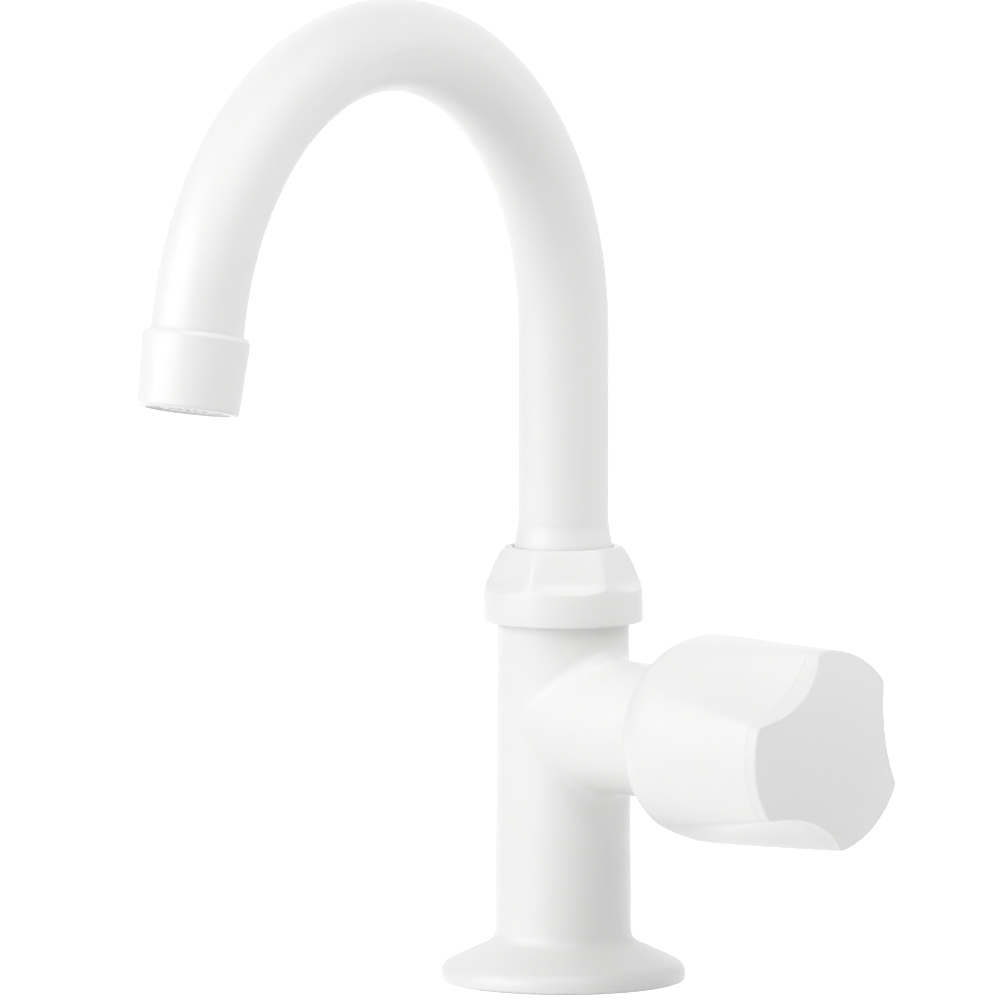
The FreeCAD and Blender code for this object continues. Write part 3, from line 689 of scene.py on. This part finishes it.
    def front(self) -> bpy.types.Object:
        """Make the cap with its seam edge, side, soft front edge and domed face.

        Returns:
            The cap.
        """
        lathe = Lathe(Axis.VALVE, self.spokes)
        start = self.seam_x + self.seam_gap
        first = self.reach(start + self.seam_round)
        for share in reversed(self.seam_shares):
            lathe.ring(lambda angle, s=share: first(angle) * s, start)
        for sine, drop in quarter_round(self.seam_steps):
            lathe.ring(lambda angle, s=sine: first(angle) - (1 - s) * self.seam_round,
                       start + drop * self.seam_round)
        soft = self.front_round
        ends = self.dome(self.front_radius - soft) - soft
        side = ends - start - self.seam_round
        for row in range(1, self.cap_rows + 1):
            x = start + self.seam_round + side * row / self.cap_rows
            lathe.ring(self.reach(x), x)
        edge = self.reach(ends)
        for sine, drop in quarter_round(self.front_steps)[1:]:
            lathe.ring(lambda angle, d=drop: edge(angle) - d * soft,
                       lambda angle, s=sine: self.edge_base(edge(angle) - soft) + s * soft)
        for share in self.face_shares:
            lathe.ring(lambda angle, s=share: (edge(angle) - soft) * s,
                       lambda angle, s=share: self.dome((edge(angle) - soft) * s))
        return lathe.mesh("knob_front_cap", looped=False)

    def edge_base(self, radius: float) -> float:
        """Where the soft front edge starts behind the dome at a radius."""
        return self.dome(radius) - self.front_round

    def build(self) -> None:
        """Make both pieces."""
        settle(self.shell(), Body.HANDLE, "knob", self.finishes.white)
        # The cap takes the darker copy of the white, which is painted shade for its face.
        settle(self.front(), Body.HANDLE, "knob_cap", self.finishes.shaded_knob_front)


@dataclass
class UnionNut:
    """The nut that holds the spout: a round skirt below six leaning flats."""

    finishes: Finishes
    radius: float = 17.6
    flats: int = 6
    flat_top_apothem: float = 12.3
    flat_lean_deg: float = 20.0
    flat_end_z: float = 89.6
    flat_round: float = 4.0
    turn_deg: float = -8.3
    corner_blend: float = 0.8
    barrel_blend: float = 1.2
    widest_corner_rad: float = 1.4
    bottom_round: float = 0.45
    bottom_steps: int = 5
    skirt_rows: int = 3
    skirt_step: float = 1.8
    flat_gap: float = 0.3
    flat_rows: int = 46
    top_radius: float = 13.0
    barrel_depth: float = 14.0
    barrel_power: float = 2.7
    lip_radius: float = 11.1
    lip_depth: float = 3.4
    lip_bevel: float = 0.25
    top_bevel_radius: float = 0.12
    top_bevel_depth: float = 0.02
    cavity_radius: float = 12.35
    cavity_depth: float = 6.15
    skirt_bore: float = 15.0
    skirt_depth: float = 1.3
    skirt_bevel: float = 0.2
    bore: float = 13.35
    spokes: int = 240
    bottom_z: float = field(init=False)
    top_z: float = field(init=False)

    def __post_init__(self) -> None:
        """Read the nut's ends from the construction model."""
        self.bottom_z = low("union_nut").z
        self.top_z = high("union_nut").z

    def apothem(self, z: float) -> float:
        """How far the leaning flats stand from the axis.

        Args:
            z: The height.

        Returns:
            The distance there. Below the flats' rounded feet it is more than the nut has.
        """
        lean = math.radians(self.flat_lean_deg)
        if z >= self.flat_end_z:
            return self.flat_top_apothem + (self.top_z - z) * math.tan(lean)
        start = self.flat_top_apothem + (self.top_z - self.flat_end_z) * math.tan(lean)
        centre_r = start + self.flat_round * math.cos(lean)
        centre_z = self.flat_end_z + self.flat_round * math.sin(lean)
        drop = centre_z - z
        if drop >= self.flat_round:
            return 2 * self.radius
        return centre_r - math.sqrt(self.flat_round**2 - drop**2)

    def turned(self, z: float) -> float:
        """The radius of the barrel-shaped body before the flats."""
        left = max(1.0 - (self.top_z - z) / self.barrel_depth, 0.0)
        return self.radius - (self.radius - self.top_radius) * left**self.barrel_power

    def reach(self, z: float) -> Reach:
        """The nut's outline.

        Args:
            z: The height.

        Returns:
            The radius there as a function of the angle.
        """
        step = 2 * math.pi / self.flats
        centre = math.radians(self.turn_deg) + step / 2
        apothem = self.apothem(z)
        turned = self.turned(z)

        def outline(angle: float) -> float:
            """The radius at an angle.

            Args:
                angle: The angle, in radians.

            Returns:
                The radius.
            """
            off = (angle - centre + step / 2) % step - step / 2
            other = min(step - abs(off), self.widest_corner_rad)
            flat = soft_least(apothem / math.cos(off), apothem / math.cos(other),
                              self.corner_blend)
            return soft_least(turned, flat, self.barrel_blend)

        return outline

    def build(self) -> None:
        """Make the nut."""
        lathe = Lathe(Axis.COLUMN, self.spokes)
        skirt = self.bottom_z + self.bottom_round
        outside = self.reach(skirt)
        for sine, drop in quarter_round(self.bottom_steps):
            lathe.ring(lambda angle, s=sine: outside(angle) - (1 - s) * self.bottom_round,
                       self.bottom_z + drop * self.bottom_round)
        heights = [skirt + self.skirt_step * row for row in range(1, self.skirt_rows + 1)]
        first = heights[-1] + self.flat_gap
        span = self.top_z - first
        heights += [first + span * row / self.flat_rows for row in range(self.flat_rows)]
        heights.append(self.top_z - self.top_bevel_depth)
        for z in heights:
            lathe.ring(self.reach(z), z)
        top = self.reach(heights[-1])
        lathe.ring(lambda angle: top(angle) - self.top_bevel_radius, self.top_z)
        lathe.ring(self.lip_radius + self.lip_bevel, self.top_z)
        lathe.ring(self.lip_radius, self.top_z - self.lip_bevel)
        lathe.ring(self.lip_radius, self.top_z - self.lip_depth)
        lathe.ring(self.cavity_radius, self.top_z - self.lip_depth)
        lathe.ring(self.cavity_radius, self.top_z - self.cavity_depth)
        lathe.ring(self.bore, self.top_z - self.cavity_depth)
        lathe.ring(self.bore, self.bottom_z + self.skirt_depth)
        lathe.ring(self.skirt_bore, self.bottom_z + self.skirt_depth)
        lathe.ring(self.skirt_bore, self.bottom_z + self.skirt_bevel)
        lathe.ring(self.skirt_bore + self.skirt_bevel, self.bottom_z)
        piece = lathe.mesh("union_nut_soft_edged", looped=True)
        settle(piece, Body.FIXED, "union_nut", self.finishes.white)


@dataclass
class FixedBody:
    """Column, flange and what is fixed to them, kept as they are built."""

    finishes: Finishes

    def build(self) -> None:
        """Dress the fixed pieces and make the union nut."""
        dress(["tap_body"], self.finishes.white)
        dress(["fixing_washer", "fixing_nut", "slip_washer", "thrust_washer"],
              self.finishes.acetal)
        dress(["deck_gasket", "bonnet_o_ring"], self.finishes.rubber)
        dress(["bonnet"], self.finishes.brass)
        UnionNut(self.finishes).build()


@dataclass
class Ferrule:
    """The sleeve on the spout's foot: its cone closes softly on the tube."""

    finishes: Finishes
    bore: float = 6.0
    spigot: float = 8.95
    nose: float = 0.6
    seal_seats: tuple[float, float] = (78.6, 84.6)
    seal_seat_half: float = 0.95
    seal_seat_radius: float = 7.45
    clip_seat_z: float = 91.15
    clip_seat_radius: float = 7.95
    collar: float = 10.9
    collar_z: float = 92.8
    cone_z: float = 95.4
    tube_bore: float = 10.03
    tube_end_z: float = 93.9
    lip: float = 0.04
    cone_rows: int = 14
    spokes: int = 160
    bottom_z: float = field(init=False)
    top_z: float = field(init=False)

    def __post_init__(self) -> None:
        """Read the ends from the construction model."""
        self.bottom_z = low("spout_ferrule").z
        self.top_z = high("spout_ferrule").z

    def profile(self) -> list[tuple[float, float]]:
        """Lay out the section, up the outside and down the bore.

        Returns:
            Its corners as (radius, height) pairs.
        """
        points = [(self.bore, self.bottom_z), (self.spigot - self.nose, self.bottom_z),
                  (self.spigot, self.bottom_z + 2 * self.nose)]
        for z in self.seal_seats:
            under, over = z - self.seal_seat_half, z + self.seal_seat_half
            points += [(self.spigot, under), (self.seal_seat_radius, under),
                       (self.seal_seat_radius, over), (self.spigot, over)]
        points += [(self.spigot, self.clip_seat_z), (self.clip_seat_radius, self.clip_seat_z),
                   (self.clip_seat_radius, self.collar_z), (self.collar, self.collar_z)]
        top = self.tube_bore + self.lip
        for row in range(self.cone_rows + 1):
            share = row / self.cone_rows
            fall = share * share * (3.0 - 2.0 * share)
            points.append((self.collar + (top - self.collar) * fall,
                           self.cone_z + (self.top_z - self.cone_z) * share))
        points += [(self.tube_bore, self.top_z), (self.tube_bore, self.tube_end_z),
                   (self.bore, self.tube_end_z)]
        return points

    def build(self) -> None:
        """Make the ferrule."""
        lathe = Lathe(Axis.COLUMN, self.spokes)
        for radius, z in self.profile():
            lathe.ring(radius, z)
        piece = lathe.mesh("spout_ferrule_soft_edged", looped=True)
        settle(piece, Body.SPOUT, "spout_ferrule", self.finishes.white)


@dataclass
class Spout:
    """The swan neck with its ferrule, seals and outlet."""

    finishes: Finishes

    def build(self) -> None:
        """Dress the spout's pieces and make the ferrule."""
        Ferrule(self.finishes).build()
        dress(["spout_tube", "outlet_cap"], self.finishes.white)
        dress(["spout_clip_ring"], self.finishes.acetal)
        dress(["spout_o_ring_lower", "spout_o_ring_upper", "outlet_washer"], self.finishes.rubber)
        dress(["aerator_cup"], self.finishes.grey_insert)
        dress(["aerator_screens"], self.finishes.steel)


@dataclass
class Handle:
    """Knob, spindle and what turns with them."""

    finishes: Finishes

    def build(self) -> None:
        """Dress the spindle's pieces and make the knob."""
        dress(["spindle"], self.finishes.brass)
        dress(["spindle_o_ring_inner", "spindle_o_ring_outer"], self.finishes.rubber)
        dress(["spindle_clip", "knob_screw"], self.finishes.steel)
        Knob(self.finishes).build()


@dataclass
class Plunger:
    """The sliding plunger with its seat washer and screw."""

    finishes: Finishes

    def build(self) -> None:
        """Dress the plunger's pieces."""
        dress(["plunger"], self.finishes.brass)
        dress(["seat_washer"], self.finishes.rubber)
        dress(["washer_screw"], self.finishes.steel)


@dataclass
class SoftBox:
    """A large square studio lamp aimed at the tap."""

    name: str
    azimuth_deg: float
    elevation_deg: float
    watts: float
    size_m: float = 2.0
    distance_m: float = 1.8
    aim_m: tuple[float, float, float] = (0.02, -0.04, 0.10)

    def build(self) -> None:
        """Make the lamp and turn it towards the tap."""
        azimuth = math.radians(self.azimuth_deg)
        elevation = math.radians(self.elevation_deg)
        level = math.cos(elevation)
        away = Vector((math.sin(azimuth) * level, -math.cos(azimuth) * level, math.sin(elevation)))
        data = bpy.data.lights.new(self.name, "AREA")
        data.shape = "SQUARE"
        data.size = self.size_m
        data.energy = self.watts
        lamp = bpy.data.objects.new(self.name, data)
        lamp.location = Vector(self.aim_m) + away * self.distance_m
        lamp.rotation_euler = (-away).to_track_quat("-Z", "Y").to_euler()
        bpy.context.scene.collection.objects.link(lamp)


@dataclass
class Studio:
    """Floor, ambient light and soft boxes."""

    ambient: float = 0.2
    deck_hole_m: float = 0.0112
    floor_ring_m: float = 0.2
    floor_reach_m: float = 14.0
    floor_step_deg: int = 5
    floor_shade: float = 0.9
    floor_lift: float = 0.83
    boxes: tuple[SoftBox, ...] = (
        SoftBox("front_left", azimuth_deg=-15.0, elevation_deg=10.5, watts=32.0),
        SoftBox("right_high", azimuth_deg=90.0, elevation_deg=59.0, watts=21.2),
        SoftBox("back_right", azimuth_deg=146.0, elevation_deg=22.0, watts=7.6),
        SoftBox("back_left", azimuth_deg=225.0, elevation_deg=25.0, watts=4.6),
    )

    def build_world(self) -> None:
        """A white surround, which lights the tap at the ambient level only."""
        world = bpy.data.worlds.new("white_surround")
        world.use_nodes = True
        bpy.context.scene.world = world
        nodes = NodeSketch(world.node_tree)
        seen = self.seen_directly(nodes)
        backdrop = nodes.add("ShaderNodeBackground")
        backdrop.inputs["Strength"].default_value = 1.0
        light = nodes.add("ShaderNodeBackground")
        light.inputs["Strength"].default_value = self.ambient
        mix = nodes.add("ShaderNodeMixShader")
        output = nodes.add("ShaderNodeOutputWorld")
        for node in (backdrop, light):
            node.inputs["Color"].default_value = (1.0, 1.0, 1.0, 1.0)
        nodes.link(seen, mix.inputs["Fac"])
        nodes.link(light.outputs["Background"], mix.inputs[1])
        nodes.link(backdrop.outputs["Background"], mix.inputs[2])
        nodes.link(mix.outputs["Shader"], output.inputs["Surface"])

    def seen_directly(self, nodes: NodeSketch) -> bpy.types.NodeSocket:
        """Tell rays that show the surround in the picture or a reflection from the others.

        Args:
            nodes: The tree to add to.

        Returns:
            A socket that is one for such rays and nought for the others.
        """
        path = nodes.add("ShaderNodeLightPath")
        first = nodes.add("ShaderNodeMath", operation="MAXIMUM")
        both = nodes.add("ShaderNodeMath", operation="MAXIMUM")
        nodes.link(path.outputs["Is Camera Ray"], first.inputs[0])
        nodes.link(path.outputs["Is Glossy Ray"], first.inputs[1])
        nodes.link(first.outputs["Value"], both.inputs[0])
        nodes.link(path.outputs["Is Transmission Ray"], both.inputs[1])
        return both.outputs["Value"]

    def floor_material(self) -> bpy.types.Material:
        """Make the floor's pale paint, which shows as the white backdrop does.

        Returns:
            The material.
        """
        material = bpy.data.materials.new("pale_floor")
        material.use_nodes = True
        nodes = NodeSketch(material.node_tree)
        paint = nodes.add("ShaderNodeBsdfDiffuse")
        paint.inputs["Color"].default_value = (*[self.floor_shade] * 3, 1.0)
        lift = nodes.add("ShaderNodeEmission")
        lift.inputs["Strength"].default_value = self.floor_lift
        both = nodes.add("ShaderNodeAddShader")
        mix = nodes.add("ShaderNodeMixShader")
        output = nodes.add("ShaderNodeOutputMaterial")
        nodes.link(paint.outputs["BSDF"], both.inputs[0])
        nodes.link(lift.outputs["Emission"], both.inputs[1])
        nodes.link(self.seen_directly(nodes), mix.inputs["Fac"])
        nodes.link(paint.outputs["BSDF"], mix.inputs[1])
        nodes.link(both.outputs["Shader"], mix.inputs[2])
        nodes.link(mix.outputs["Shader"], output.inputs["Surface"])
        return material

    def build_floor(self) -> None:
        """Lay the deck that the flange rests on, with the hole for the tail."""
        skin = bmesh.new()
        rows = []
        for reach in (self.deck_hole_m, self.floor_ring_m, self.floor_reach_m):
            spokes = [Matrix.Rotation(math.radians(turn), 3, "Z") @ Vector((reach, 0.0, 0.0))
                      for turn in range(0, 360, self.floor_step_deg)]
            rows.append([skin.verts.new(spoke) for spoke in spokes])
        for inner, outer in zip(rows, rows[1:]):
            for spoke, corner in enumerate(inner):
                skin.faces.new((corner, inner[spoke - 1], outer[spoke - 1], outer[spoke]))
        bmesh.ops.recalc_face_normals(skin, faces=skin.faces)
        floor = finished_object("studio_floor", skin)
        floor.data.materials.append(self.floor_material())

    def build(self) -> None:
        """Build the whole studio."""
        self.build_world()
        self.build_floor()
        for box in self.boxes:
            box.build()


@dataclass
class PhotoCamera:
    """The camera as it stood for the photograph, found from the tap's outlines."""

    azimuth_deg: float = 46.7
    distance_m: float = 3.0
    height_m: float = 0.4152
    focal_px: float = 13710.0
    pitch_deg: float = 5.88
    yaw_deg: float = 0.266
    image_px: float = 1000.0
    sensor_mm: float = 36.0
    nearest_m: float = 0.1
    farthest_m: float = 60.0

    def build(self) -> None:
        """Make the camera and give it to the scene."""
        azimuth = math.radians(self.azimuth_deg)
        heading = math.radians(self.azimuth_deg + self.yaw_deg)
        pitch = math.radians(self.pitch_deg)
        right = Vector((math.cos(heading), math.sin(heading), 0.0))
        level = math.cos(pitch)
        forward = Vector((-math.sin(heading) * level, math.cos(heading) * level, -math.sin(pitch)))
        upward = right.cross(forward)
        data = bpy.data.cameras.new("photo_camera")
        data.sensor_width = self.sensor_mm
        data.lens = self.focal_px / self.image_px * self.sensor_mm
        data.clip_start = self.nearest_m
        data.clip_end = self.farthest_m
        camera = bpy.data.objects.new("photo_camera", data)
        turn = Matrix((right, upward, -forward)).transposed().to_4x4()
        place = Vector((self.distance_m * math.sin(azimuth), -self.distance_m * math.cos(azimuth),
                        self.height_m))
        camera.matrix_world = Matrix.Translation(place) @ turn
        bpy.context.scene.collection.objects.link(camera)
        bpy.context.scene.camera = camera


def main() -> None:
    """Build the tap, the studio and the camera."""
    logging.basicConfig(level=logging.INFO, format="%(name)s: %(message)s")
    finishes = Finishes()
    for part in (FixedBody(finishes), Spout(finishes), Handle(finishes), Plunger(finishes)):
        part.build()
        LOG.info("built %s", type(part).__name__)
    Studio().build()
    PhotoCamera().build()
    bpy.context.scene.view_settings.view_transform = "Standard"


if __name__ == "__main__":
    main()
